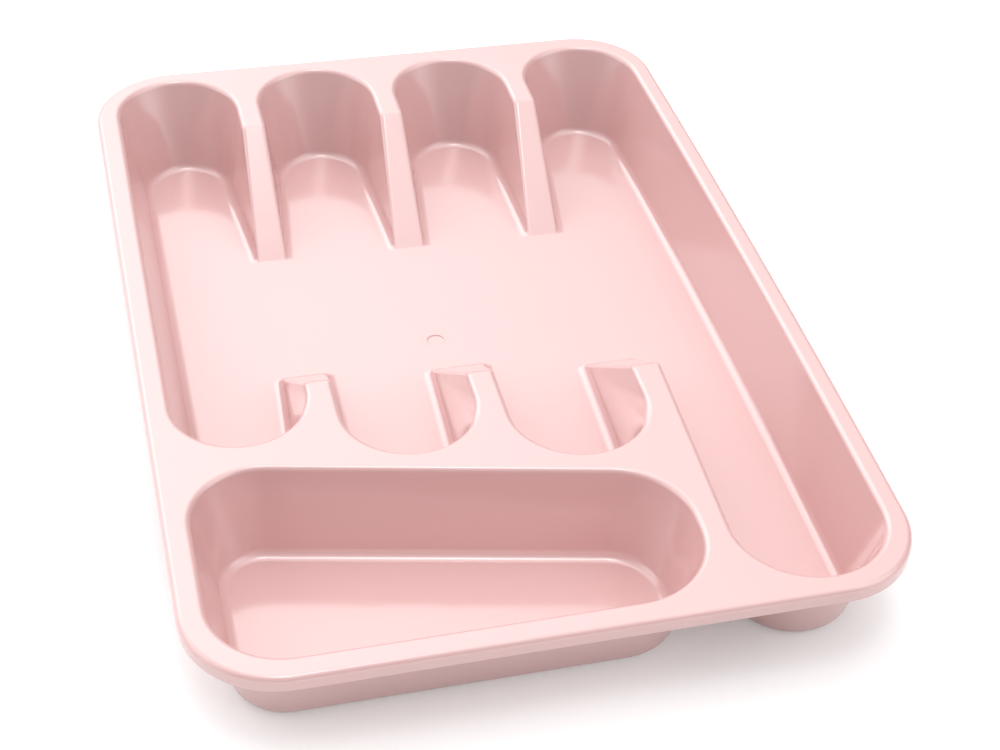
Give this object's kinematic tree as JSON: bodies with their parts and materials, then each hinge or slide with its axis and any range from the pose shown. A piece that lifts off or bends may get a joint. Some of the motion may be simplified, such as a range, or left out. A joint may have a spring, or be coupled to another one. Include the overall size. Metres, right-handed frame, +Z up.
{
  "type": "cutlery tray",
  "caption": "Thin-walled drawer tray for cutlery, with round-ended slots side by side, ramped dividers and a slanted bin across the front, under a rounded rim.",
  "frame": {"origin": "under the middle of the tray, on the plane that it rests on", "axes": "+X to the user's right with the bin in front, +Y to the back of the drawer along the slots, +Z up"},
  "size_m": [0.2714, 0.39, 0.04],
  "materials": {
    "tray_plastic": "moulded, pale pink, semi-gloss"
  },
  "bodies": {
    "root": {"basin_floor": "tray_plastic", "bin_far_wall": "tray_plastic", "bin_floor": "tray_plastic", "bin_left_end": "tray_plastic", "bin_near_wall": "tray_plastic", "bin_right_end": "tray_plastic", "front_finger_1": "tray_plastic", "front_finger_2": "tray_plastic", "front_finger_3": "tray_plastic", "front_ledge": "tray_plastic", "left_wall_front": "tray_plastic", "left_wall_rear": "tray_plastic", "notch_1_wall": "tray_plastic", "notch_2_wall": "tray_plastic", "notch_3_wall": "tray_plastic", "rear_divider_1": "tray_plastic", "rear_divider_2": "tray_plastic", "rear_divider_3": "tray_plastic", "right_wall_front": "tray_plastic", "right_wall_rear": "tray_plastic", "rim_flange": "tray_plastic", "slot_1_back_end": "tray_plastic", "slot_2_back_end": "tray_plastic", "slot_3_back_end": "tray_plastic", "slot_4_back_end": "tray_plastic", "slot_4_front_end": "tray_plastic"}
  },
  "joints": []
}
